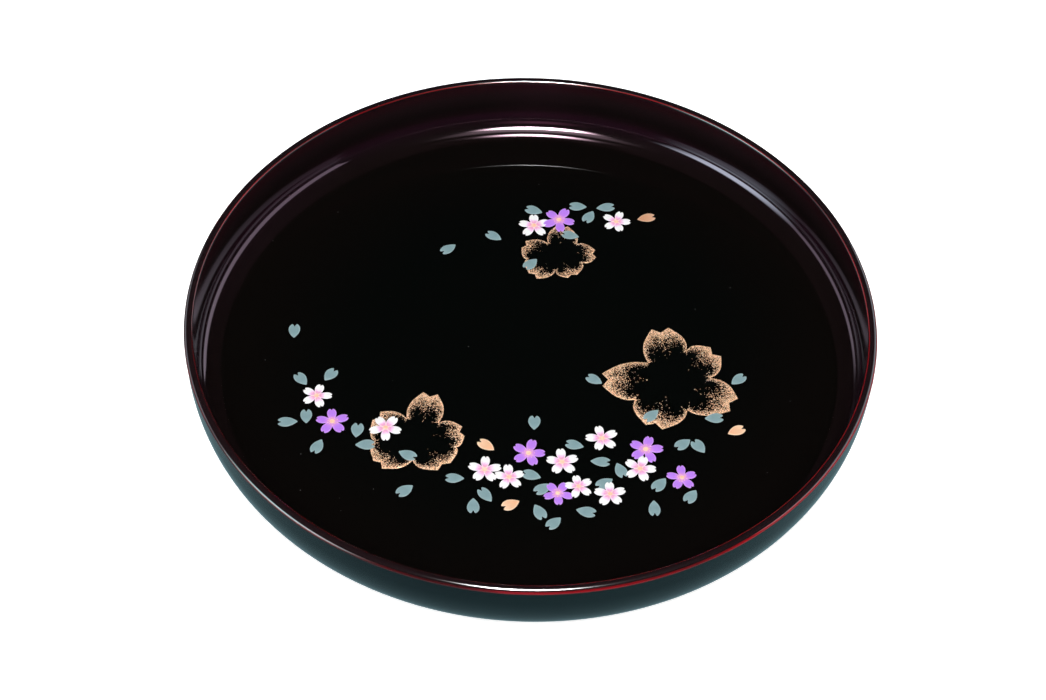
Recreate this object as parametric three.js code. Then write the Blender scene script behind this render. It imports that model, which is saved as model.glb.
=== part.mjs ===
// A round lacquered serving tray, built up from three glued wooden pieces:
//   wall_ring    the turned side: lip, wall, rounded heel and inner cove, with a rabbet for the floor
//   floor_board  the flat round panel, its stepped edge sitting down into the wall ring's rabbet
//   foot_ring    the ring that the tray stands on, let into a groove under the floor board
// Every piece is a body of revolution about the Z axis. Lengths are in millimetres, angles in degrees.
// The origin is the centre of the resting plane, +Z is up and +Y points away from the person served.
import * as THREE from "three";

// Driving dimensions.
const TRAY_RADIUS = 150; // outside, just under the lip
const TRAY_HEIGHT = 36; // from the table to the crown of the lip
const INNER_DEPTH = 28; // from the crown of the lip to the floor
const LIP_THICKNESS = 4;
const LIP_CROWN_RADIUS = 2.9; // the lip's rounded top
const LIP_OUTER_RADIUS = 1.2; // the softer edge, outside
const LIP_INNER_RADIUS = 1.2; // the same softness on the inner edge
const LIP_OUTER_TILT = 40; // where the crown meets the outer edge's rounding
const LIP_INNER_TILT = 17; // where it meets the inner edge's rounding
const INNER_DRAFT = 0.5; // the inner wall leans in by this much down to the cove
const OUTER_DRAFT = 0.3; // the outer wall leans in by this much down to the heel
const COVE_WIDTH = 9.5; // horizontal run of the curve between the inner wall and the floor
const COVE_HEIGHT = 7;
const HEEL_DEPTH = 7; // from the crown of the lip down to where the heel's curve starts
const HEEL_WIDTH = 13; // horizontal run of the heel's curve
const FOOT_HEIGHT = 3; // clear space under the floor board
const FOOT_RADIUS = 116; // outside of the foot ring
const FOOT_WIDTH = 8;
const FOOT_EDGE_RADIUS = 0.8;
const FOOT_TENON = 1.5; // how deep the foot ring goes into the floor board
const RABBET_WIDTH = 10; // ledge of the wall ring under the floor board's edge
const RABBET_HEIGHT = 2.5; // thickness of that ledge
const GLUE_GAP = 0.3; // room for glue and lacquer in each joint

const AROUND = 120; // straight sides in one turn

// Levels and radii that follow from the driving dimensions.
const FLOOR_TOP = TRAY_HEIGHT - INNER_DEPTH;
const COVE_TOP = FLOOR_TOP + COVE_HEIGHT;
const INNER_RADIUS = TRAY_RADIUS - LIP_THICKNESS;
const FLOOR_RADIUS = INNER_RADIUS - INNER_DRAFT - COVE_WIDTH;
const LEDGE_TOP = FOOT_HEIGHT + RABBET_HEIGHT;
const LEDGE_RADIUS = FLOOR_RADIUS - RABBET_WIDTH;
const HEEL_TOP = TRAY_HEIGHT - HEEL_DEPTH;
const HEEL_RADIUS = TRAY_RADIUS - OUTER_DRAFT - HEEL_WIDTH;

const { degToRad } = THREE.MathUtils;

// Points of an elliptical arc about (r, z), from one angle to another.
function arc(r, z, across, up, from, to, steps) {
  const points = [];
  for (let i = 0; i <= steps; i++) {
    const angle = degToRad(from + ((to - from) * i) / steps);
    points.push([r + across * Math.cos(angle), z + up * Math.sin(angle)]);
  }
  return points;
}

// Turns a profile of [radius, height] points about the Z axis.
function turned(name, profile, material) {
  const points = profile.map(([r, z]) => new THREE.Vector2(r, z));
  const geometry = new THREE.LatheGeometry(points, AROUND).rotateX(Math.PI / 2);
  const mesh = new THREE.Mesh(geometry, material);
  mesh.name = name;
  return mesh;
}

// The lip from outside to inside: outer edge, crown and inner edge, each arc running into the next.
function lip() {
  const crown = LIP_CROWN_RADIUS;
  const outer = LIP_OUTER_RADIUS;
  const inner = LIP_INNER_RADIUS;
  const crownZ = TRAY_HEIGHT - crown;
  const crownR = TRAY_RADIUS - outer - (crown - outer) * Math.sin(degToRad(LIP_OUTER_TILT));
  const outerZ = crownZ + (crown - outer) * Math.cos(degToRad(LIP_OUTER_TILT));
  const innerR = crownR - (crown - inner) * Math.sin(degToRad(LIP_INNER_TILT));
  const innerZ = crownZ + (crown - inner) * Math.cos(degToRad(LIP_INNER_TILT));
  return [
    ...arc(TRAY_RADIUS - outer, outerZ, outer, outer, 0, 90 - LIP_OUTER_TILT, 2),
    ...arc(crownR, crownZ, crown, crown, 90 - LIP_OUTER_TILT, 90 + LIP_INNER_TILT, 4).slice(1),
    ...arc(innerR, innerZ, inner, inner, 90 + LIP_INNER_TILT, 180, 4).slice(1),
  ];
}

// Lip, wall, heel and cove in one closed outline, starting at the ledge and going round by the outside.
function wallRing(material) {
  const start = [LEDGE_RADIUS, FOOT_HEIGHT];
  const profile = [
    start,
    ...arc(HEEL_RADIUS, HEEL_TOP, HEEL_WIDTH, HEEL_TOP - FOOT_HEIGHT, -90, 0, 10),
    ...lip(),
    ...arc(FLOOR_RADIUS, COVE_TOP, COVE_WIDTH, -COVE_HEIGHT, 0, 90, 7),
    [FLOOR_RADIUS, LEDGE_TOP],
    [LEDGE_RADIUS, LEDGE_TOP],
    start,
  ];
  return turned("wall_ring", profile, material);
}

// The panel, with a stepped edge above the ledge and a groove below for the foot ring.
function floorBoard(material) {
  const grooveTop = FOOT_HEIGHT + FOOT_TENON;
  const grooveInner = FOOT_RADIUS - FOOT_WIDTH - GLUE_GAP;
  const grooveOuter = FOOT_RADIUS + GLUE_GAP;
  const profile = [
    [0, FOOT_HEIGHT],
    [grooveInner, FOOT_HEIGHT],
    [grooveInner, grooveTop],
    [grooveOuter, grooveTop],
    [grooveOuter, FOOT_HEIGHT],
    [LEDGE_RADIUS - GLUE_GAP, FOOT_HEIGHT],
    [LEDGE_RADIUS - GLUE_GAP, LEDGE_TOP + GLUE_GAP],
    [FLOOR_RADIUS - GLUE_GAP, LEDGE_TOP + GLUE_GAP],
    [FLOOR_RADIUS - GLUE_GAP, FLOOR_TOP],
    [0, FLOOR_TOP],
  ];
  return turned("floor_board", profile, material);
}

// The foot: a flat resting face with rounded edges, and a square top that goes up into the groove.
function footRing(material) {
  const inner = FOOT_RADIUS - FOOT_WIDTH;
  const top = FOOT_HEIGHT + FOOT_TENON - GLUE_GAP;
  const edge = FOOT_EDGE_RADIUS;
  const start = [inner, top];
  const profile = [
    start,
    ...arc(inner + edge, edge, edge, edge, 180, 270, 3),
    ...arc(FOOT_RADIUS - edge, edge, edge, edge, 270, 360, 3),
    [FOOT_RADIUS, top],
    start,
  ];
  return turned("foot_ring", profile, material);
}

const tameLacquer = new THREE.MeshStandardMaterial({ color: 0x2b1013, roughness: 0.08, metalness: 0 });
const blackLacquer = new THREE.MeshStandardMaterial({ color: 0x070707, roughness: 0.06, metalness: 0 });

const tray = new THREE.Group();
tray.add(wallRing(tameLacquer), floorBoard(blackLacquer), footRing(blackLacquer));

export default tray;
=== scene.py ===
"""Looks of the round lacquered serving tray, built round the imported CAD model. Lengths are in metres."""

import math
import random

import bmesh
import bpy
from mathutils import Matrix, Vector


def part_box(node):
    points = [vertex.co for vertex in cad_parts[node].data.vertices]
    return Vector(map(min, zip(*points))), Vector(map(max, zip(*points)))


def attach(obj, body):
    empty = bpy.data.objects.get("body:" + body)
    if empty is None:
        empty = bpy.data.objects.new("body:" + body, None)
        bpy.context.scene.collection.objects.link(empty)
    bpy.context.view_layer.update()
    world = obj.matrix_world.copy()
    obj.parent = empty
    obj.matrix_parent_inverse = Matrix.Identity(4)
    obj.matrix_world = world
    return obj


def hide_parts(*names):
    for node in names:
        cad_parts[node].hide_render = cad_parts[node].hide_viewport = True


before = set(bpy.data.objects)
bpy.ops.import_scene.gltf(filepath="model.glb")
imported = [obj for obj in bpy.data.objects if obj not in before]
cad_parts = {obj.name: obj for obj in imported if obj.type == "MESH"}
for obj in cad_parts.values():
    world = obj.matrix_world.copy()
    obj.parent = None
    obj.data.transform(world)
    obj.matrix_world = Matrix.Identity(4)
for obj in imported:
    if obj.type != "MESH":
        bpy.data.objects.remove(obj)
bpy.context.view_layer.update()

MM = 0.001

# Sizes that the CAD model gives.
TRAY_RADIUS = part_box("wall_ring")[1][0]
TRAY_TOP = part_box("wall_ring")[1][2]
FLOOR_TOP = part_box("floor_board")[1][2]
BOARD_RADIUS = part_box("floor_board")[1][0]
BOARD_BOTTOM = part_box("floor_board")[0][2]
FOOT_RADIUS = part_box("foot_ring")[1][0]
FOOT_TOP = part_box("foot_ring")[1][2]

# Sizes inside the pieces, as the CAD model has them.
GLUE_GAP = 0.3 * MM
LIP_THICKNESS = 4 * MM
LIP_CROWN_RADIUS = 2.9 * MM
LIP_OUTER_RADIUS = 1.2 * MM
LIP_INNER_RADIUS = 1.2 * MM
LIP_OUTER_TILT = 40
LIP_INNER_TILT = 17
INNER_DRAFT = 0.5 * MM
OUTER_DRAFT = 0.3 * MM
COVE_HEIGHT = 7 * MM
HEEL_DEPTH = 7 * MM
HEEL_WIDTH = 13 * MM
FOOT_WIDTH = 8 * MM
FOOT_EDGE_RADIUS = 0.8 * MM
RABBET_WIDTH = 10 * MM
RABBET_HEIGHT = 2.5 * MM

INNER_RADIUS = TRAY_RADIUS - LIP_THICKNESS
FLOOR_RADIUS = BOARD_RADIUS + GLUE_GAP
LEDGE_RADIUS = FLOOR_RADIUS - RABBET_WIDTH

AROUND = 720  # sides in one turn of a fine body of revolution
SHARP = 35  # edges that turn by more degrees than this stay crisp
SEAM = 0.02 * MM  # the lacquer film closes the glue joints but for this
FLOOR_RINGS = (1, 0.97, 0.9, 0.75, 0.5, 0.25, 0.01)  # where the floor's rings of faces meet


# ---------------------------------------------------------------- bodies of revolution


def arc(r, z, across, up, start, end, steps):
    """Points of an elliptical arc about (r, z), from one angle to another, in degrees."""
    points = []
    for i in range(steps + 1):
        angle = math.radians(start + (end - start) * i / steps)
        points.append((r + across * math.cos(angle), z + up * math.sin(angle)))
    return points


def linked(name, mesh):
    """An object of the mesh, in the scene."""
    piece = bpy.data.objects.new(name, mesh)
    bpy.context.scene.collection.objects.link(piece)
    return piece


def turned(name, runs):
    """A closed profile turned about the Z axis. Each run is a material and its (radius, height) points."""
    profile = [point for _, points in runs for point in points]
    slots = [slot for slot, (_, points) in enumerate(runs) for _ in points]
    count = len(profile)
    vertices = []
    faces = []
    for side in range(AROUND):
        angle = 2 * math.pi * side / AROUND
        vertices += [(r * math.cos(angle), r * math.sin(angle), z) for r, z in profile]
    for side in range(AROUND):
        here = side * count
        there = (side + 1) % AROUND * count
        for i in range(count):
            j = (i + 1) % count
            faces.append((here + i, there + i, there + j, here + j))
    mesh = bpy.data.meshes.new(name)
    mesh.from_pydata(vertices, [], faces)
    for material, _ in runs:
        mesh.materials.append(material)
    mesh.polygons.foreach_set("material_index", slots * AROUND)
    mesh.shade_smooth()
    mesh.set_sharp_from_angle(angle=math.radians(SHARP))
    return linked(name, mesh)


def lip_arcs():
    """The lip's outer edge, crown and inner edge, as three arcs that run into each other."""
    crown = LIP_CROWN_RADIUS
    outer = LIP_OUTER_RADIUS
    inner = LIP_INNER_RADIUS
    out_tilt = math.radians(LIP_OUTER_TILT)
    in_tilt = math.radians(LIP_INNER_TILT)
    crown_z = TRAY_TOP - crown
    crown_r = TRAY_RADIUS - outer - (crown - outer) * math.sin(out_tilt)
    outer_z = crown_z + (crown - outer) * math.cos(out_tilt)
    inner_r = crown_r - (crown - inner) * math.sin(in_tilt)
    inner_z = crown_z + (crown - inner) * math.cos(in_tilt)
    return (
        arc(TRAY_RADIUS - outer, outer_z, outer, outer, 0, 90 - LIP_OUTER_TILT, steps=10),
        arc(crown_r, crown_z, crown, crown, 90 - LIP_OUTER_TILT, 90 + LIP_INNER_TILT, steps=16),
        arc(inner_r, inner_z, inner, inner, 90 + LIP_INNER_TILT, 180, steps=10),
    )


def make_wall(outside, lip, inside):
    """Lip, wall, heel and cove, in one closed outline that starts under the floor's ledge."""
    ledge_top = BOARD_BOTTOM + RABBET_HEIGHT
    heel_top = TRAY_TOP - HEEL_DEPTH
    heel_radius = TRAY_RADIUS - OUTER_DRAFT - HEEL_WIDTH
    cove_width = INNER_RADIUS - INNER_DRAFT - FLOOR_RADIUS
    outer_edge, crown, inner_edge = lip_arcs()
    heel = arc(heel_radius, heel_top, HEEL_WIDTH, heel_top - BOARD_BOTTOM, -90, 0, steps=48)
    cove = arc(FLOOR_RADIUS, FLOOR_TOP + COVE_HEIGHT, cove_width, -COVE_HEIGHT, 0, 90, steps=48)
    ledge = [(FLOOR_RADIUS, ledge_top), (LEDGE_RADIUS, ledge_top), (LEDGE_RADIUS, BOARD_BOTTOM)]
    wall = turned("wall", [
        (outside, heel),
        (lip, [*outer_edge, *crown[1:], *inner_edge[1:-1]]),
        (inside, [inner_edge[-1], *cove, *ledge]),
    ])
    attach(wall, "root")
    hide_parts("wall_ring")


def make_floor(top, underside):
    """The floor board, out to the cove with a hair of a seam, and its groove for the foot."""
    edge = FLOOR_RADIUS - SEAM
    groove_outer = FOOT_RADIUS + GLUE_GAP
    groove_inner = FOOT_RADIUS - FOOT_WIDTH - GLUE_GAP
    groove_top = FOOT_TOP + GLUE_GAP
    step_top = BOARD_BOTTOM + RABBET_HEIGHT + GLUE_GAP
    rings = [(edge * share, FLOOR_TOP) for share in FLOOR_RINGS]
    below = [
        (FOOT_RADIUS * FLOOR_RINGS[-1], BOARD_BOTTOM),
        (groove_inner * 0.5, BOARD_BOTTOM),
        (groove_inner, BOARD_BOTTOM),
        (groove_inner, groove_top),
        (groove_outer, groove_top),
        (groove_outer, BOARD_BOTTOM),
        (LEDGE_RADIUS - SEAM, BOARD_BOTTOM),
        (LEDGE_RADIUS - SEAM, step_top),
        (edge, step_top),
    ]
    floor = turned("floor", [(top, rings), (underside, below)])
    close_middle(floor.data)
    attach(floor, "root")
    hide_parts("floor_board")


def close_middle(mesh):
    """Draws the narrow hole that turning leaves round the axis together, so that the disc is whole."""
    near = 0.02 * TRAY_RADIUS
    for vertex in mesh.vertices:
        if math.hypot(vertex.co.x, vertex.co.y) < near:
            vertex.co.x = 0
            vertex.co.y = 0
    work = bmesh.new()
    work.from_mesh(mesh)
    bmesh.ops.remove_doubles(work, verts=work.verts, dist=1e-6)
    bmesh.ops.delete(work, geom=[edge for edge in work.edges if not edge.link_faces], context="EDGES")
    work.to_mesh(mesh)
    work.free()


def make_foot(material):
    """The foot ring, with rounded edges where it stands on the table."""
    inner = FOOT_RADIUS - FOOT_WIDTH
    edge = FOOT_EDGE_RADIUS
    foot = turned("foot", [(material, [
        (inner, FOOT_TOP),
        *arc(inner + edge, edge, edge, edge, 180, 270, steps=8),
        *arc(FOOT_RADIUS - edge, edge, edge, edge, 270, 360, steps=8),
        (FOOT_RADIUS, FOOT_TOP),
    ])])
    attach(foot, "root")
    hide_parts("foot_ring")


# ---------------------------------------------------------------- node helpers


def material_named(name):
    """A new material, with its node tree and its shader."""
    material = bpy.data.materials.new(name)
    material.use_nodes = True
    return material, material.node_tree, material.node_tree.nodes["Principled BSDF"]


def feed(tree, socket, value):
    """Links a socket to a socket, or sets it to a plain value."""
    if isinstance(value, bpy.types.NodeSocket):
        tree.links.new(value, socket)
    else:
        socket.default_value = value


def calc(tree, operation, *values):
    """One step of arithmetic on sockets or plain numbers."""
    node = tree.nodes.new("ShaderNodeMath")
    node.operation = operation
    for socket, value in zip(node.inputs, values):
        feed(tree, socket, value)
    return node.outputs["Value"]


def ranged(tree, value, low, high, to_low=0.0, to_high=1.0):
    """Takes low..high smoothly to to_low..to_high, and no further."""
    node = tree.nodes.new("ShaderNodeMapRange")
    node.interpolation_type = "SMOOTHSTEP"
    for name, number in (("Value", value), ("From Min", low), ("From Max", high)):
        feed(tree, node.inputs[name], number)
    feed(tree, node.inputs["To Min"], to_low)
    feed(tree, node.inputs["To Max"], to_high)
    return node.outputs["Result"]


def place(tree):
    """The point's place on the tray, with the tray's centre at the origin."""
    return tree.nodes.new("ShaderNodeTexCoord").outputs["Object"]


def noise(tree, scale, detail=2.0, stretch=(1, 1, 1)):
    """Soft random clouds, between 0 and 1. The scale is how many there are in a metre."""
    mapping = tree.nodes.new("ShaderNodeMapping")
    mapping.inputs["Scale"].default_value = stretch
    feed(tree, mapping.inputs["Vector"], place(tree))
    node = tree.nodes.new("ShaderNodeTexNoise")
    node.inputs["Scale"].default_value = scale
    node.inputs["Detail"].default_value = detail
    tree.links.new(mapping.outputs["Vector"], node.inputs["Vector"])
    return node.outputs["Fac"]


def cells(tree, scale):
    """A node of small cells, which gives the distance from a cell's middle and the cell's colour."""
    node = tree.nodes.new("ShaderNodeTexVoronoi")
    node.inputs["Scale"].default_value = scale
    tree.links.new(place(tree), node.inputs["Vector"])
    return node


def attribute(tree, label):
    """A number that the mesh holds at each of its points."""
    node = tree.nodes.new("ShaderNodeAttribute")
    node.attribute_name = label
    return node.outputs["Fac"]


def times(tree, first, second):
    """The product of two sockets or plain numbers."""
    return calc(tree, "MULTIPLY", first, second)


def drift(tree, scale, reach):
    """Clouds that push a value up or down, by up to about a half of the reach."""
    return times(tree, calc(tree, "SUBTRACT", noise(tree, scale), 0.5), reach)


def radius_and_height(tree):
    """The point's distance from the tray's axis, and its height over the table."""
    split = tree.nodes.new("ShaderNodeSeparateXYZ")
    tree.links.new(place(tree), split.inputs[0])
    x = times(tree, split.outputs["X"], split.outputs["X"])
    y = times(tree, split.outputs["Y"], split.outputs["Y"])
    radius = calc(tree, "SQRT", calc(tree, "ADD", x, y))
    return radius, split.outputs["Z"]


def mixed(tree, share, first, second):
    """A colour between two, by the share of the second."""
    node = tree.nodes.new("ShaderNodeMix")
    node.data_type = "RGBA"
    feed(tree, node.inputs["Factor"], share)
    feed(tree, node.inputs[6], first if isinstance(first, bpy.types.NodeSocket) else (*first, 1))
    feed(tree, node.inputs[7], second if isinstance(second, bpy.types.NodeSocket) else (*second, 1))
    return node.outputs[2]


def ramp(tree, share, stops):
    """A colour that runs through (place, colour) stops."""
    node = tree.nodes.new("ShaderNodeValToRGB")
    feed(tree, node.inputs["Fac"], share)
    elements = node.color_ramp.elements
    while len(elements) < len(stops):
        elements.new(0.5)
    for element, (position, colour) in zip(elements, stops):
        element.position = position
        element.color = (*colour, 1)
    return node.outputs["Color"]


def bump(tree, shader, height, distance):
    """Makes the surface look raised, by the distance where the height is 1."""
    node = tree.nodes.new("ShaderNodeBump")
    node.inputs["Strength"].default_value = 1
    node.inputs["Distance"].default_value = distance
    tree.links.new(height, node.inputs["Height"])
    tree.links.new(node.outputs["Normal"], shader.inputs["Normal"])


# ---------------------------------------------------------------- lacquer

EDGE_RED = (0.20, 0.003, 0.006)  # the coat under the lacquer, where the lip's edges are rubbed thin
LIP_BLACK = (0.010, 0.005, 0.006)
OUTSIDE_DARK = (0.001, 0.0025, 0.003)
OUTSIDE_PALE = (0.002, 0.0045, 0.005)
FLOOR_MIDDLE = (0.0014, 0.0018, 0.0016)
FLOOR_EDGE = (0.0026, 0.0020, 0.0017)
UNDER_DARK = (0.004, 0.004, 0.004)
UNDER_PALE = (0.009, 0.008, 0.007)
UNDER_WORN = (0.05, 0.03, 0.022)
OUTSIDE_TINT = (0.6, 0.95, 1.0)  # of what the lacquer mirrors, as is the next
INSIDE_TINT = (1, 0.68, 0.82)
OUTSIDE_SHEEN = 0.25  # how strongly it mirrors, where ordinary gloss is 0.5
BROWN_FROM = 70 * MM  # the radius where the floor begins to turn brown
WORN_HEIGHT = 0.5 * MM  # how far up the foot it is rubbed
WAVE_HEIGHT = 0.012 * MM  # of the long wave in polished lacquer
BRUSH_HEIGHT = 0.02 * MM  # of the brush marks underneath
DUST_GREY = (0.6, 0.6, 0.6)
DUST_CELLS = 130  # in a metre, each with room for one speck
DUST_COVER = 0.3  # how much a speck hides of the lacquer under it
OUTER_GLOW = 0.85 * MM  # how far the red shows round the lip's outer edge
INNER_GLOW = 0.36 * MM  # and round its inner edge
OUTER_REDDEST = 6  # the point of the outer edge's arc that the red lies round
INNER_REDDEST = 3  # and of the inner edge's arc
# Clear brown lacquer over red, from the floor (0) to the lip (1), with painted light: painted shade at the
# cove's foot and low on the wall, a purple painted glow in the cove round its mirrored highlights, and a
# painted lighter, redder band high up.
INSIDE_COLOURS_AND_PAINTED_LIGHT = [
    (0.0, (0.005, 0.003, 0.003)),
    (0.07, (0.009, 0.004, 0.006)),
    (0.15, (0.016, 0.005, 0.010)),
    (0.22, (0.015, 0.005, 0.009)),
    (0.30, (0.009, 0.004, 0.005)),
    (0.50, (0.006, 0.004, 0.004)),
    (0.85, (0.012, 0.006, 0.007)),
    (0.97, (0.018, 0.005, 0.007)),
]


def specks(tree, colour):
    """A few grains of dust lying on the lacquer."""
    dot = ranged(tree, cells(tree, DUST_CELLS).outputs["Distance"], 0.012, 0.03, to_low=1, to_high=0)
    some = ranged(tree, noise(tree, 90), 0.52, 0.6)
    cover = times(tree, dot, times(tree, some, DUST_COVER))
    return mixed(tree, cover, colour, DUST_GREY)


def polished(tree, shader, smooth, cloudy, wave=1.0):
    """Rubbed lacquer: nearly a mirror, with clouds of fine rubbing marks and a faint long wave."""
    clouds = noise(tree, 14, detail=3)
    marks = noise(tree, 260, detail=2, stretch=(1, 9, 1))
    both = calc(tree, "ADD", times(tree, clouds, 0.7), times(tree, marks, 0.3))
    feed(tree, shader.inputs["Roughness"], ranged(tree, both, 0.3, 0.75, smooth, cloudy))
    swell = calc(tree, "ADD", noise(tree, 22, detail=1), times(tree, noise(tree, 420), 0.02))
    bump(tree, shader, swell, WAVE_HEIGHT * wave)


def edge_glow(tree):
    """How thin the lacquer is rubbed on the lip's two edges: 1 where the red under it shows most."""
    radius, height = radius_and_height(tree)
    outer_edge, _, inner_edge = lip_arcs()
    glow = []
    for (r, z), reach in ((outer_edge[OUTER_REDDEST], OUTER_GLOW), (inner_edge[INNER_REDDEST], INNER_GLOW)):
        aside = calc(tree, "SUBTRACT", radius, r)
        above = calc(tree, "SUBTRACT", height, z)
        squares = calc(tree, "ADD", times(tree, aside, aside), times(tree, above, above))
        glow.append(ranged(tree, calc(tree, "SQRT", squares), reach * 0.35, reach, to_low=1, to_high=0))
    worn = ranged(tree, noise(tree, 11, detail=4), 0.36, 0.62, to_low=0.15)
    return times(tree, calc(tree, "MAXIMUM", *glow), worn)


def lacquered(tree, shader, colour):
    """Gives the shader a lacquer's colour, with the lip's red edges and the dust."""
    feed(tree, shader.inputs["Base Color"], specks(tree, mixed(tree, edge_glow(tree), colour, EDGE_RED)))


def outside_lacquer():
    """Black lacquer with a weak, cool mirror."""
    material, tree, shader = material_named("lacquer_outside")
    lacquered(tree, shader, ramp(tree, noise(tree, 12), [(0.3, OUTSIDE_DARK), (0.7, OUTSIDE_PALE)]))
    polished(tree, shader, smooth=0.05, cloudy=0.10)
    shader.inputs["Specular Tint"].default_value = (*OUTSIDE_TINT, 1)
    shader.inputs["Specular IOR Level"].default_value = OUTSIDE_SHEEN
    return material


def lip_lacquer():
    """Black lacquer, red along both edges of the lip."""
    material, tree, shader = material_named("lacquer_lip")
    lacquered(tree, shader, LIP_BLACK)
    polished(tree, shader, smooth=0.06, cloudy=0.12)
    return material


def inside_lacquer():
    """Clear brown lacquer over red, with painted shade low down, a painted glow in the cove and painted
    light near the lip. Its tinted mirror makes double reflections purple.
    """
    material, tree, shader = material_named("lacquer_inside")
    _, height = radius_and_height(tree)
    # the height share that places the ramp's painted shade, painted glow and painted light
    level = calc(tree, "ADD", ranged(tree, height, FLOOR_TOP, TRAY_TOP), drift(tree, 7, 0.12))
    lacquered(tree, shader, ramp(tree, level, INSIDE_COLOURS_AND_PAINTED_LIGHT))
    polished(tree, shader, smooth=0.05, cloudy=0.10)
    shader.inputs["Specular Tint"].default_value = (*INSIDE_TINT, 1)
    return material


def floor_lacquer():
    """Black mirror lacquer, very slightly brown toward its edge."""
    material, tree, shader = material_named("lacquer_floor")
    radius, _ = radius_and_height(tree)
    share = ranged(tree, calc(tree, "ADD", radius, drift(tree, 6, 30 * MM)), BROWN_FROM, FLOOR_RADIUS)
    feed(tree, shader.inputs["Base Color"], specks(tree, mixed(tree, share, FLOOR_MIDDLE, FLOOR_EDGE)))
    polished(tree, shader, smooth=0.015, cloudy=0.04, wave=0.6)
    return material


def underside_lacquer(name, rest_wear):
    """Black lacquer underneath: duller, with brush marks, and rubbed where it stands on the table."""
    material, tree, shader = material_named(name)
    _, height = radius_and_height(tree)
    rubbed = times(tree, ranged(tree, height, 0, WORN_HEIGHT, rest_wear, 0), noise(tree, 60, detail=4))
    shade = ramp(tree, noise(tree, 10, detail=3), [(0.3, UNDER_DARK), (0.7, UNDER_PALE)])
    feed(tree, shader.inputs["Base Color"], specks(tree, mixed(tree, rubbed, shade, UNDER_WORN)))
    marks = noise(tree, 120, detail=3, stretch=(1, 14, 1))
    dull = calc(tree, "ADD", marks, rubbed)
    feed(tree, shader.inputs["Roughness"], ranged(tree, dull, 0.3, 1, 0.12, 0.4))
    bump(tree, shader, marks, BRUSH_HEIGHT)
    return material


# ---------------------------------------------------------------- painted blossoms


def between(a, b, c, d, t):
    """The number at share t of the way from b to c, on a Catmull-Rom curve from a by b and c to d."""
    bend = 2 * a - 5 * b + 4 * c - d
    twist = 3 * b - a - 3 * c + d
    return 0.5 * (2 * b + (c - a) * t + bend * t * t + twist * t ** 3)


def smooth_curve(points, steps, closed=True):
    """A Catmull-Rom curve through the points."""
    count = len(points)
    curve = []
    spans = count if closed else count - 1
    for i in range(spans):
        if closed:
            near = [points[(i + k) % count] for k in (-1, 0, 1, 2)]
        else:
            near = [points[min(max(i + k, 0), count - 1)] for k in (-1, 0, 1, 2)]
        for step in range(steps):
            curve.append(tuple(between(*four, step / steps) for four in zip(*near)))
    if not closed:
        curve.append(tuple(points[-1]))
    return curve


def mirrored(half):
    """A whole outline from the half on its left side, which starts and ends on the middle line."""
    return half + [(u, -v) for u, v in reversed(half[1:-1])]


def turned_to(points, x, y, angle):
    """Points of a flat shape, turned by an angle in degrees and moved to a place."""
    c = math.cos(math.radians(angle))
    s = math.sin(math.radians(angle))
    return [(x + u * c - v * s, y + u * s + v * c) for u, v in points]


class Film:
    """Paint of one colour: low closed cushions, gathered into one mesh. Its sizes are in millimetres."""

    # The rings of a cushion from its foot to its top, as shares of the outline and of the height.
    STEPS = ((1, 0.0), (1, 0.45), (0.97, 0.72), (0.9, 0.9), (0.72, 1.0), (0.4, 0.97))
    TOP = 0.95  # height of a cushion's middle, as a share
    SINK = 0.01  # how far a body goes down into the lacquer
    SHARP = 60  # edges that turn by more degrees than this stay crisp

    def __init__(self):
        self.vertices = []
        self.faces = []
        self.slots = []
        self.along = []
        self.rim = []

    def put(self, x, y, height, along, rim):
        """Adds a point at a height over the floor, with its two attributes, and gives its number."""
        self.vertices.append((x * MM, y * MM, FLOOR_TOP + height * MM))
        self.along.append(along)
        self.rim.append(rim)
        return len(self.vertices) - 1

    def cushion(self, outline, middle, height, shares, slot=0):
        """A rounded body on the outline. shares says how far out along the petal each point lies."""
        count = len(outline)
        mx, my = middle
        mean = sum(shares) / count
        rings = []
        for scale, lift in self.STEPS:
            ring = []
            for (x, y), share in zip(outline, shares):
                z = height * lift if lift else -self.SINK
                along = mean + (share - mean) * scale
                ring.append(self.put(mx + (x - mx) * scale, my + (y - my) * scale, z, along, scale))
            rings.append(ring)
        top = self.put(mx, my, height * self.TOP, mean, 0)
        bottom = self.put(mx, my, -self.SINK, mean, 0)
        for low, high in zip(rings, rings[1:]):
            for i in range(count):
                j = (i + 1) % count
                self.face((low[i], low[j], high[j], high[i]), slot)
        for i in range(count):
            j = (i + 1) % count
            self.face((rings[-1][i], rings[-1][j], top), slot)
            self.face((rings[0][j], rings[0][i], bottom), slot)

    def face(self, corners, slot=0):
        """Adds a face, with the slot of its material."""
        self.faces.append(corners)
        self.slots.append(slot)

    def grain(self, x, y, size, height, turn):
        """One grain of metal powder, as a low four-sided cone."""
        base = []
        for i in range(4):
            angle = turn + math.pi * i / 2
            base.append(self.put(x + size * math.cos(angle), y + size * math.sin(angle), -self.SINK, 0, 1))
        tip = self.put(x, y, height, 0, 1)
        for i in range(4):
            self.face((base[i], base[(i + 1) % 4], tip))
        self.face(tuple(reversed(base)))

    def piece(self, name, materials, slot):
        """The film as one named object that rides on the tray."""
        mesh = bpy.data.meshes.new(name)
        mesh.from_pydata(self.vertices, [], self.faces)
        for material in materials:
            mesh.materials.append(material)
        mesh.polygons.foreach_set("material_index", self.slots)
        for label, values in (("along", self.along), ("rim", self.rim)):
            mesh.attributes.new(label, "FLOAT", "POINT").data.foreach_set("value", values)
        mesh.shade_smooth()
        mesh.set_sharp_from_angle(angle=math.radians(self.SHARP))
        made = linked(name, mesh)
        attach(made, "root")


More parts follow.
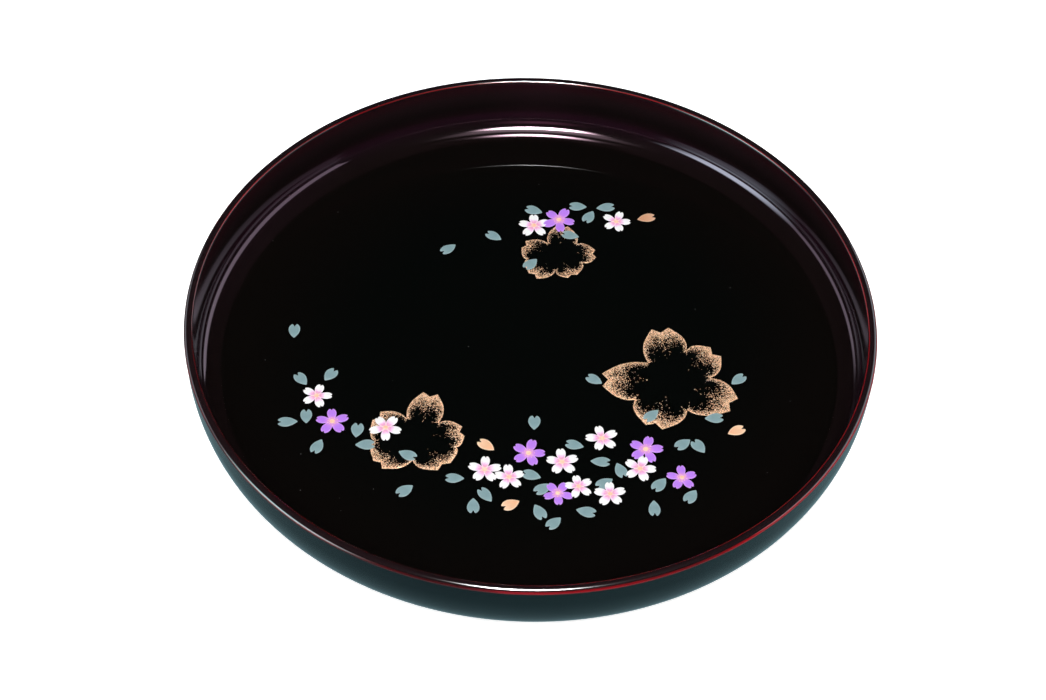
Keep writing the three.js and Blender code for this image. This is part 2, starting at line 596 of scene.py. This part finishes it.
# Half outlines, as shares of the length from base to tip, and of the half breadth.
LOOSE_PETAL = [
    (0, 0), (0.09, 0.3), (0.27, 0.7), (0.5, 0.97), (0.7, 0.98),
    (0.87, 0.78), (0.98, 0.44), (0.92, 0.2), (0.8, 0),
]
BLOSSOM_PETAL = [
    (0.04, 0), (0.1, 0.4), (0.3, 0.74), (0.5, 0.96), (0.7, 1),
    (0.87, 0.82), (0.99, 0.45), (0.96, 0.15), (0.87, 0),
]
PETALS = 5
STAMENS = 10
PAINT_THICKNESS = 0.14  # mm, of the lowest coat; each coat over another adds LAYER
LAYER = 0.05
PETAL_STEP = 0.008  # mm, by which neighbouring petals of a blossom differ in height
STAMEN_RAISE = 0.05  # mm, of the heart and the stamens over the petals
STAMEN_RADIUS = 0.2  # mm, of the dot at a stamen's end
HEART_SHARE = 0.16  # radius of a blossom's heart, as a share of the blossom's
HEART_ALONG = 0.1  # the heart's and the stamens' place between a petal's base (0) and its tip (1)


def painted_petal(film, half, x, y, angle, length, breadth, height, middle=0.55):
    """One petal whose base is at (x, y) and whose tip lies at the given angle."""
    flat = [(u * length, v * breadth / 2) for u, v in mirrored(half)]
    loop = smooth_curve(flat, steps=4)[::-1]
    shares = [u / length for u, _ in loop]
    centre = turned_to([(middle * length, 0)], x, y, angle)[0]
    film.cushion(turned_to(loop, x, y, angle), centre, height, shares)


def blossom(film, dice, x, y, angle, radius, layer):
    """Five petals round a centre with its stamens, all a little unequal, as a brush leaves them."""
    height = PAINT_THICKNESS + LAYER * layer
    for petal in range(PETALS):
        tip_angle = angle + petal * 360 / PETALS + dice.uniform(-3, 3)
        length = radius * dice.uniform(0.95, 1.04)
        breadth = radius * dice.uniform(0.54, 0.6)
        level = height + PETAL_STEP * (petal % 3)
        painted_petal(film, BLOSSOM_PETAL, x, y, tip_angle, length, breadth, level)
    raised = height + STAMEN_RAISE
    disc(film, x, y, HEART_SHARE * radius, raised)
    for stamen in range(STAMENS):
        turn = math.radians(angle + stamen * 360 / STAMENS + dice.uniform(-9, 9))
        reach = radius * dice.uniform(0.24, 0.36)
        disc(film, x + reach * math.cos(turn), y + reach * math.sin(turn), STAMEN_RADIUS, raised)


def disc(film, x, y, radius, height, sides=10):
    """A dot of the film's second paint."""
    outline = []
    for i in range(sides):
        angle = 2 * math.pi * i / sides
        outline.append((x + radius * math.cos(angle), y + radius * math.sin(angle)))
    film.cushion(outline, (x, y), height, [HEART_ALONG] * sides, slot=1)


# Where the motifs lie, in mm from the tray's centre. Blossoms: x, y, first petal's angle, radius, layer.
WHITE_BLOSSOMS = [
    (-0.1, 78.7, 22, 7.3, 0), (38, 82.9, 2, 6.6, 0), (-92, -28.7, 3, 6.6, 0), (-60.9, -45.4, -16, 7, 0),
    (15.3, -61, 25, 7, 0), (-17.5, -66.6, 17, 7, 0), (-6.9, -70.3, 25, 6.8, 2), (22.6, -74, 33, 6.2, 2),
    (32.3, -47.3, 34, 7, 0), (48.5, -63.4, 3, 7, 2), (35.9, -77.5, 23, 6.7, 1),
]
PURPLE_BLOSSOMS = [
    (11.4, 82.9, -9, 7.7, 1), (-84.1, -42.9, 25, 7.2, 0), (0.9, -56.8, 4, 7.4, 0), (13.8, -78, -12, 6.4, 1),
    (51, -52.5, 5, 7.4, 1), (66.3, -67.3, 24, 6.5, 0),
]
# Loose petals: x and y of the petal's middle, angle of its tip.
TEAL_PETALS = [
    (-39, 62, 220), (-18.5, 71, 149), (-0.5, 88.5, 162), (20, 92, 178), (25.3, 85.5, 243), (33, 92, 11),
    (16.8, 73.2, 166), (-1, 54.2, 229), (-105, 8.5, 92), (-99.5, -19.5, 129), (-87, -16.5, 57),
    (-95.5, -40.5, 95), (-103.3, -44, 185), (-73, -47.3, 86), (-89.3, -57, 248), (-69, -55.2, 4),
    (-50.6, -60, 336), (-50.6, -79.2, 220), (-30, -71.8, 180), (3, -39.8, 90), (20.5, -51.5, 166),
    (31.7, -60.2, -2), (2.5, -68.8, 163), (7.5, -75.8, 215), (-16.6, -80.2, 128), (-21.5, -86.2, 272),
    (6.3, -88.3, 297), (12.5, -93.8, 226), (25.9, -87.3, 348), (33.5, -71.8, 215), (67, -49, 219),
    (73.8, -50, 126), (40.3, -64.5, 293), (56.8, -71.5, 232), (70, -77.3, 237), (54.5, -84.3, 273),
    (53.6, -33.6, 227), (80.8, -33.9, 6), (91.9, -11.4, 42), (28.6, -14.2, 149),
]
COPPER_PETALS = [(52, 86, 16)]
ORANGE_PETALS = [(-17.3, -53.3, 144), (-5.8, -84.8, 209), (90.2, -40.6, 27)]
# Gold blossoms: centre, then for each petal the angle, the reach to its notch and the breadth,
# and the angle and distance of the valley after it.
GOLD_BLOSSOMS = [
    ("gold_blossom_right", 63, -13, [
        (100, 28.2, 20, 70, 18.5), (42, 24, 18, 7, 16.7), (-26, 27.3, 21, -70, 18.2),
        (-107, 26.1, 19, -144, 20.5), (-178, 28.4, 19, -222, 14.4),
    ]),
    ("gold_blossom_left", -47, -50.5, [
        (80, 23.7, 16.5, 45, 12.5), (13, 18.5, 14, -14, 17), (-51, 18, 17, -96, 12.6),
        (-136, 20.4, 15, -171, 18.4), (-212, 19.9, 15, -244, 11.8),
    ]),
    ("gold_blossom_far", 12, 60, [
        (87, 17.5, 13.5, 45, 11.2), (7, 15.4, 12, -20, 11), (-64, 13, 12, -99, 9.4),
        (-132, 16.4, 13, -169, 15.2), (-201, 16.4, 12, -235, 9.3),
    ]),
]
LOOSE_LENGTH = 8.2  # mm, as is the breadth
LOOSE_BREADTH = 5.2
LOOSE_MIDDLE = 0.5  # where a loose petal's paint is thickest, as a share of its length
GOLD_BAND = 0.4  # how far the sprinkled band reaches in from the edge, as a share of the petal's length
# The film that carries the powder, from the edge (0) inward (1): share, height in mm, and how thick the
# powder lies there, where 1 is thickest.
GOLD_ROWS = (
    (0, -0.01, 1), (0.05, 0.03, 1), (0.25, 0.03, 0.6), (0.5, 0.025, 0.28), (0.97, 0.02, 0.02), (1, -0.01, 0),
)
GOLD_TIP = (1.09, 0.38)  # a tip beside the notch, as shares of the petal's reach and half breadth
GOLD_BULGE = 0.3  # how far a side bulges between the valley and the tip, as a share of the half breadth
GOLD_WAYS = (0, 0.3, 0.6, 0.85, 1)  # where a side's points lie between the valley and the tip
GOLD_NOTCH = ((1.06, 0.25), (1.03, 0.12), (1, 0), (1.03, -0.12), (1.06, -0.25))  # shares, as the tip
GOLD_MIDDLE = 0.36  # where a petal's band draws in to, as a share of its reach
GRAINS_PER_MM = 18  # of a petal's edge
GRAINS_NEAR = 0.85  # share of the grains that lie within the near reach
NEAR_REACH = 1.1  # in bands, as is the far one
FAR_REACH = 2
GRAIN_INSET = 0.1  # mm, from the edge to the first grains
GRAIN_SIZES = (0.1, 0.2)  # mm, half across, from the smallest to the largest
GRAIN_HEIGHTS = (0.05, 0.09)  # mm


def loose_petals(name, places, material, dice):
    """Petals of one colour that have fallen one by one."""
    film = Film()
    for x, y, angle in places:
        length = LOOSE_LENGTH * dice.uniform(0.95, 1.05)
        breadth = LOOSE_BREADTH * dice.uniform(0.95, 1.05)
        base = turned_to([(-length / 2, 0)], x, y, angle)[0]
        height = PAINT_THICKNESS + dice.uniform(0, 0.01)
        painted_petal(film, LOOSE_PETAL, *base, angle, length, breadth, height, LOOSE_MIDDLE)
    film.piece(name, [material], "blossom_paint")


def gold_outline(x, y, before, petal):
    """A large petal's edge, from the valley before it to the valley after it, with two tips."""
    angle, reach, breadth, _, _ = petal
    half = breadth / 2
    tip_u = GOLD_TIP[0] * reach
    tip_v = GOLD_TIP[1] * half
    sides = []
    for side, (valley_angle, valley_reach) in ((1, before), (-1, petal[3:])):
        along = valley_reach * math.cos(math.radians(valley_angle - angle))
        across = valley_reach * abs(math.sin(math.radians(valley_angle - angle)))
        points = []
        for way in GOLD_WAYS:
            u = along + (tip_u - along) * way
            v = across + (tip_v - across) * way + GOLD_BULGE * half * math.sin(math.pi * way)
            points.append((u, side * v))
        sides.append(smooth_curve(points, steps=8, closed=False))
    notch = [(u * reach, v * half) for u, v in GOLD_NOTCH]
    return turned_to(sides[0] + notch + sides[1][::-1], x, y, angle)


def fullness(at, last):
    """How broad the sprinkled band is, along a petal's edge: narrow in the valleys, broad at the tips."""
    return 0.2 + 0.8 * math.sin(math.pi * at / last) ** 3


def drawn_in(point, middle, way):
    """A point moved a way toward the petal's middle, but never quite to it."""
    long = math.dist(point, middle)
    return tuple(p + (m - p) * min(way / long, 0.95) for p, m in zip(point, middle))


def ribbon(film, line, middle, band, dice):
    """The sprinkled band as a thin film, whose rim attribute says how thick the powder lies."""
    rows = []
    last = len(line) - 1
    for i, point in enumerate(line):
        width = band * fullness(i, last) * dice.uniform(0.92, 1.08)
        row = []
        for share, height, rim in GOLD_ROWS:
            x, y = drawn_in(point, middle, width * share)
            row.append(film.put(x, y, height, 0, rim))
        rows.append(row)
    sides = len(rows[0])
    for here, there in zip(rows, rows[1:]):
        for a in range(sides):
            b = (a + 1) % sides
            film.face((here[a], here[b], there[b], there[a]))
    film.face(tuple(reversed(rows[0])))
    film.face(tuple(rows[-1]))


def powder(film, line, middle, band, dice, grains):
    """Grains sprinkled from the edge inward: thick near it, and only a few far in."""
    last = len(line) - 1
    for _ in range(grains):
        at = dice.uniform(0, last - 0.001)
        i = int(at)
        t = at - i
        edge = tuple(a * (1 - t) + b * t for a, b in zip(line[i], line[i + 1]))
        reach = band * (NEAR_REACH if dice.random() < GRAINS_NEAR else FAR_REACH)
        way = reach * (1 - math.sqrt(dice.random())) * fullness(at, last) + GRAIN_INSET
        x, y = drawn_in(edge, middle, way)
        film.grain(x, y, dice.uniform(*GRAIN_SIZES), dice.uniform(*GRAIN_HEIGHTS), dice.uniform(0, math.pi))


def gold_blossom(name, x, y, petals, material, dice):
    """A large open blossom in sprinkled gold: only its petals' edges, each fading toward the middle."""
    film = Film()
    for k, petal in enumerate(petals):
        line = gold_outline(x, y, (petals[k - 1][3], petals[k - 1][4]), petal)
        middle = turned_to([(GOLD_MIDDLE * petal[1], 0)], x, y, petal[0])[0]
        band = GOLD_BAND * petal[1] * dice.uniform(0.85, 1.15)
        ribbon(film, line, middle, band, dice)
        length = sum(math.dist(a, b) for a, b in zip(line, line[1:]))
        powder(film, line, middle, band, dice, int(length * GRAINS_PER_MM))
    film.piece(name, [material], "gold_powder")


# Colours of the paints from a petal's base (0) to its tip (1).
WHITE_PAINT = (
    (0.12, (0.78, 0.40, 0.38)), (0.32, (0.76, 0.29, 0.60)),
    (0.46, (0.80, 0.53, 0.74)), (0.6, (0.80, 0.80, 0.80)),
)
PURPLE_PAINT = (
    (0.12, (0.78, 0.42, 0.36)), (0.28, (0.62, 0.26, 0.64)),
    (0.44, (0.48, 0.20, 0.74)), (0.6, (0.42, 0.175, 0.74)),
)
TEAL_PAINT = ((0.05, (0.21, 0.33, 0.35)), (0.5, (0.175, 0.275, 0.295)), (0.95, (0.20, 0.31, 0.33)))
ORANGE_PAINT = ((0.05, (0.80, 0.40, 0.22)), (0.6, (0.74, 0.44, 0.27)), (0.95, (0.80, 0.52, 0.34)))
COPPER_PAINT = ((0.05, (0.50, 0.24, 0.13)), (0.6, (0.56, 0.29, 0.17)), (0.95, (0.62, 0.35, 0.22)))
GRAIN_COLOURS = (
    (0.0, (0.30, 0.15, 0.08)), (0.3, (0.72, 0.40, 0.22)),
    (0.7, (0.95, 0.57, 0.35)), (1.0, (1.0, 0.80, 0.58)),
)
GAP_BLACK = (0.002, 0.002, 0.002)  # the lacquer between the grains
GRAIN_CELLS = 3500  # in a metre
GRAIN_COVER = 0.9  # share of the surface that grains cover where they lie thickest
GRAIN_METAL = 0.35  # how metallic they are
PAINT_SHEEN = 0.12  # how strongly the paint mirrors, where ordinary gloss is 0.5
MOTTLE_DARK = 0.55  # the dark of the paint's mottle, as a share of the rim's colour


def petal_paint(name, stops, rim_colour, rim_share):
    """Satin paint: a colour that runs from base to tip, a paler rim and a fine mottle."""
    material, tree, shader = material_named(name)
    mottle = noise(tree, 900, detail=3)
    uneven = times(tree, calc(tree, "SUBTRACT", mottle, 0.5), 0.25)
    colour = ramp(tree, calc(tree, "ADD", attribute(tree, "along"), uneven), stops)
    paler = times(tree, ranged(tree, attribute(tree, "rim"), 0.68, 0.96), rim_share)
    colour = mixed(tree, paler, colour, rim_colour)
    shade = ranged(tree, noise(tree, 2200), 0.3, 0.7, 0.0, 0.12)
    colour = mixed(tree, shade, colour, tuple(MOTTLE_DARK * c for c in rim_colour))
    feed(tree, shader.inputs["Base Color"], colour)
    feed(tree, shader.inputs["Roughness"], ranged(tree, mottle, 0.3, 0.7, 0.32, 0.5))
    bump(tree, shader, mottle, 0.03 * MM)
    shader.inputs["Specular IOR Level"].default_value = PAINT_SHEEN
    return material


def stamen_paint():
    """Peach paint, of two tones."""
    material, tree, shader = material_named("stamen_paint")
    colour = ramp(tree, noise(tree, 700), [(0.3, (0.84, 0.45, 0.26)), (0.7, (0.92, 0.60, 0.42))])
    feed(tree, shader.inputs["Base Color"], colour)
    feed(tree, shader.inputs["Roughness"], ranged(tree, noise(tree, 1500), 0.3, 0.7, 0.3, 0.45))
    bump(tree, shader, noise(tree, 3000), 0.02 * MM)
    return material


def gold_powder():
    """Gold grains of many tones in black lacquer. The rim attribute says how thick they lie."""
    material, tree, shader = material_named("gold_powder")
    split = tree.nodes.new("ShaderNodeSeparateColor")
    tree.links.new(cells(tree, GRAIN_CELLS).outputs["Color"], split.inputs[0])
    colour = ramp(tree, split.outputs["Red"], GRAIN_COLOURS)
    thick = times(tree, attribute(tree, "rim"), GRAIN_COVER)
    gap = calc(tree, "GREATER_THAN", split.outputs["Blue"], thick)
    feed(tree, shader.inputs["Base Color"], mixed(tree, gap, colour, GAP_BLACK))
    feed(tree, shader.inputs["Metallic"], times(tree, calc(tree, "SUBTRACT", 1, gap), GRAIN_METAL))
    rough = ranged(tree, split.outputs["Green"], 0, 1, 0.28, 0.45)
    feed(tree, shader.inputs["Roughness"], times(tree, rough, ranged(tree, gap, 0, 1, 1, 0.1)))
    bump(tree, shader, noise(tree, 4000), 0.01 * MM)
    return material


def make_decoration():
    """The gold blossoms first, then the loose petals, then the small blossoms that lie over them."""
    dice = random.Random(5)
    gold = gold_powder()
    stamens = stamen_paint()
    white = petal_paint("white_paint", WHITE_PAINT, rim_colour=(0.86, 0.84, 0.85), rim_share=0.6)
    purple = petal_paint("purple_paint", PURPLE_PAINT, rim_colour=(0.56, 0.28, 0.82), rim_share=0.7)
    teal = petal_paint("teal_paint", TEAL_PAINT, rim_colour=(0.27, 0.38, 0.40), rim_share=0.7)
    orange = petal_paint("orange_paint", ORANGE_PAINT, rim_colour=(0.86, 0.62, 0.42), rim_share=0.7)
    copper = petal_paint("copper_paint", COPPER_PAINT, rim_colour=(0.66, 0.42, 0.28), rim_share=0.6)
    for name, x, y, petals in GOLD_BLOSSOMS:
        gold_blossom(name, x, y, petals, gold, dice)
    loose_petals("petals_teal", TEAL_PETALS, teal, dice)
    loose_petals("petals_orange", ORANGE_PETALS, orange, dice)
    loose_petals("petals_copper", COPPER_PETALS, copper, dice)
    for kind, places, paint in (("white", WHITE_BLOSSOMS, white), ("purple", PURPLE_BLOSSOMS, purple)):
        for number, (x, y, angle, radius, layer) in enumerate(places, 1):
            film = Film()
            blossom(film, dice, x, y, angle, radius, layer)
            film.piece(f"blossom_{kind}_{number:02}", [paint, stamens], "blossom_paint")


# ---------------------------------------------------------------- camera, light and table


LENS = 85  # mm
SENSOR = 36  # mm
TARGET = Vector((-3 * MM, -7.55 * MM, TRAY_TOP - 17.5 * MM))  # what the camera looks at
DISTANCE = 1.0795  # from the camera to its target
AZIMUTH = -0.338  # degrees, as are the next two
ELEVATION = 48.656
ROLL = 1.672


def make_camera():
    """A long lens, looking down on the tray from above its near side."""
    data = bpy.data.cameras.new("camera")
    data.lens = LENS
    data.sensor_width = SENSOR
    camera = bpy.data.objects.new("camera", data)
    bpy.context.scene.collection.objects.link(camera)
    azimuth = math.radians(AZIMUTH)
    elevation = math.radians(ELEVATION)
    ahead = Vector((
        math.sin(azimuth) * math.cos(elevation),
        math.cos(azimuth) * math.cos(elevation),
        -math.sin(elevation),
    ))
    turn = ahead.to_track_quat("-Z", "Y").to_matrix().to_4x4()
    roll = Matrix.Rotation(math.radians(ROLL), 4, "Z")
    camera.matrix_world = Matrix.Translation(TARGET - ahead * DISTANCE) @ turn @ roll
    bpy.context.scene.camera = camera


FAR_COVE = 0.14  # from the tray's axis to its far cove
BOX_AWAY = 1.2  # from the far cove to the soft boxes that it mirrors
HAZE_CONE = 16  # degrees, half the cone that a haze light keeps to
ROSE_LIGHT = (1, 0.45, 0.7)
STRIP_LIGHT = (0.86, 0.9, 1)
BOX_LIGHT = (0.64, 0.98, 1)
FILL_SIZE = 1.6
FILL_POWER = 34  # watts
FILL_PLACE = (0, -0.6, 1.45)
ROOM_GREY = (0.3, 0.3, 0.3)
SHEET_HALF = 4  # half the side of the table
TABLE_UNDER = 0.05 * MM  # how far the table lies under the foot ring
CARD_UNDER = 1 * MM
CARD_LIGHT = (0.55, 0.9, 1)
CARD_GLOW = (0.36, 0.46)  # from its dimmest to its brightest clouds
PAPER_DARK = (0.89, 0.89, 0.89)
PAPER_PALE = (0.93, 0.93, 0.93)
PAPER_ROUGHNESS = 0.9
PAPER_GLOW = 0.7


def soft_box(name, place_at, target, width, height, radiance, fades, peak=1):
    """A light that shows only mirrored. fades says how much of its width and height fades out."""
    data = bpy.data.lights.new(name, "AREA")
    data.shape = "RECTANGLE"
    data.size = width
    data.size_y = height
    data.energy = radiance * math.pi * width * height
    data.use_nodes = True
    tree = data.node_tree
    split = tree.nodes.new("ShaderNodeSeparateXYZ")
    geometry = tree.nodes.new("ShaderNodeNewGeometry")
    tree.links.new(geometry.outputs["Parametric"], split.inputs[0])
    strength = 1.0
    for axis, fade in zip("XY", fades):
        if fade:
            off = calc(tree, "ABSOLUTE", calc(tree, "SUBTRACT", split.outputs[axis], 0.5))
            share = ranged(tree, off, 0.5 * (1 - fade), 0.5, to_low=1, to_high=0)
            strength = times(tree, strength, calc(tree, "POWER", share, peak))
    feed(tree, tree.nodes["Emission"].inputs["Strength"], strength)
    light = bpy.data.objects.new(name, data)
    bpy.context.scene.collection.objects.link(light)
    light.location = place_at
    light.rotation_euler = (Vector(target) - Vector(place_at)).to_track_quat("-Z", "Y").to_euler()
    light.visible_camera = False
    light.visible_diffuse = False
    return light


def over_far_cove(name, angle, width, height, radiance, fades, peak=1):
    """A soft box that the cove at the back mirrors, at an angle in degrees up from the tray's far side."""
    angle = math.radians(angle)
    place_at = (0, FAR_COVE + BOX_AWAY * math.cos(angle), BOX_AWAY * math.sin(angle))
    return soft_box(name, place_at, (0, FAR_COVE, 0), width, height, radiance, fades, peak)


def narrowed(light, half_angle):
    """Keeps a soft box to a cone of a half angle in degrees, just as bright along its middle."""
    half = math.radians(half_angle)
    light.data.spread = 2 * half
    light.data.energy *= (math.tan(half) - half) / math.tan(half)


def make_fill():
    """A wide soft light from above that lights the colours, and that nothing mirrors."""
    data = bpy.data.lights.new("fill", "AREA")
    data.shape = "SQUARE"
    data.size = FILL_SIZE
    data.energy = FILL_POWER
    light = bpy.data.objects.new("fill", data)
    bpy.context.scene.collection.objects.link(light)
    light.location = FILL_PLACE
    light.rotation_euler = (-light.location).to_track_quat("-Z", "Y").to_euler()
    light.visible_glossy = False
    light.visible_camera = False


def make_mirrored_lights():
    """The lights whose reflections are the bright lines in the cove and on the lip."""
    over_far_cove("front_top", angle=107.5, width=0.54, height=0.44, radiance=600, fades=(1, 0.8), peak=3)
    haze = over_far_cove("haze", angle=97, width=0.8, height=1.1, radiance=7, fades=(1, 0.8))
    narrowed(haze, HAZE_CONE)
    rose = over_far_cove("haze_rose", angle=148, width=1.1, height=1.6, radiance=1.6, fades=(1, 1))
    rose.data.color = ROSE_LIGHT
    narrowed(rose, HAZE_CONE)
    right = soft_box(
        "strip_right", (1, 0.49, 0.5), (0, 0.49, 0.5),
        width=1.82, height=0.62, radiance=2.9, fades=(0, 0.45)
    )
    left = soft_box(
        "strip_left", (-1, 0.55, 0.42), (0, 0.55, 0.42),
        width=1.5, height=0.46, radiance=2.4, fades=(0.6, 0.5)
    )
    for strip in (right, left):
        strip.data.color = STRIP_LIGHT
    box = soft_box(
        "box_left", (-1, -0.45, 0.5), (0, -0.2, 0.15),
        width=1.2, height=0.8, radiance=15, fades=(0.8, 0.5)
    )
    box.data.color = BOX_LIGHT


def flat_sheet(name, material, z):
    """A wide level sheet of the stage."""
    half = SHEET_HALF
    corners = [(-half, -half, z), (half, -half, z), (half, half, z), (-half, half, z)]
    mesh = bpy.data.meshes.new(name)
    mesh.from_pydata(corners, [], [(0, 1, 2, 3)])
    mesh.materials.append(material)
    sheet = linked(name, mesh)
    return sheet


def make_table():
    """Pale paper that nothing mirrors."""
    material, tree, shader = material_named("paper")
    feed(tree, shader.inputs["Base Color"], ramp(tree, noise(tree, 3), [(0, PAPER_DARK), (1, PAPER_PALE)]))
    shader.inputs["Roughness"].default_value = PAPER_ROUGHNESS
    shader.inputs["Emission Color"].default_value = (1, 1, 1, 1)
    shader.inputs["Emission Strength"].default_value = PAPER_GLOW
    table = flat_sheet("table", material, -TABLE_UNDER)
    table.visible_glossy = False


def make_card():
    """A dim blue-green sheet just under the table, which shows only mirrored."""
    material, tree, shader = material_named("card")
    shader.inputs["Base Color"].default_value = (0, 0, 0, 1)
    shader.inputs["Specular IOR Level"].default_value = 0
    shader.inputs["Emission Color"].default_value = (*CARD_LIGHT, 1)
    feed(tree, shader.inputs["Emission Strength"], ranged(tree, noise(tree, 2, detail=1), 0, 1, *CARD_GLOW))
    material.cycles.emission_sampling = "NONE"
    card = flat_sheet("card", material, -CARD_UNDER)
    card.visible_camera = False
    card.visible_diffuse = False
    card.visible_shadow = False


def make_world():
    """An even grey room that nothing mirrors."""
    world = bpy.data.worlds.new("world")
    bpy.context.scene.world = world
    world.use_nodes = True
    world.node_tree.nodes["Background"].inputs["Color"].default_value = (*ROOM_GREY, 1)
    world.cycles_visibility.glossy = False


def make_stage():
    """All that the tray is shown with."""
    make_table()
    make_card()
    make_world()
    make_fill()
    make_mirrored_lights()
    bpy.context.scene.view_settings.view_transform = "Standard"


make_camera()
make_wall(outside_lacquer(), lip_lacquer(), inside_lacquer())
make_floor(floor_lacquer(), underside_lacquer("lacquer_underside", 0))
make_foot(underside_lacquer("lacquer_foot", 1))
make_decoration()
make_stage()
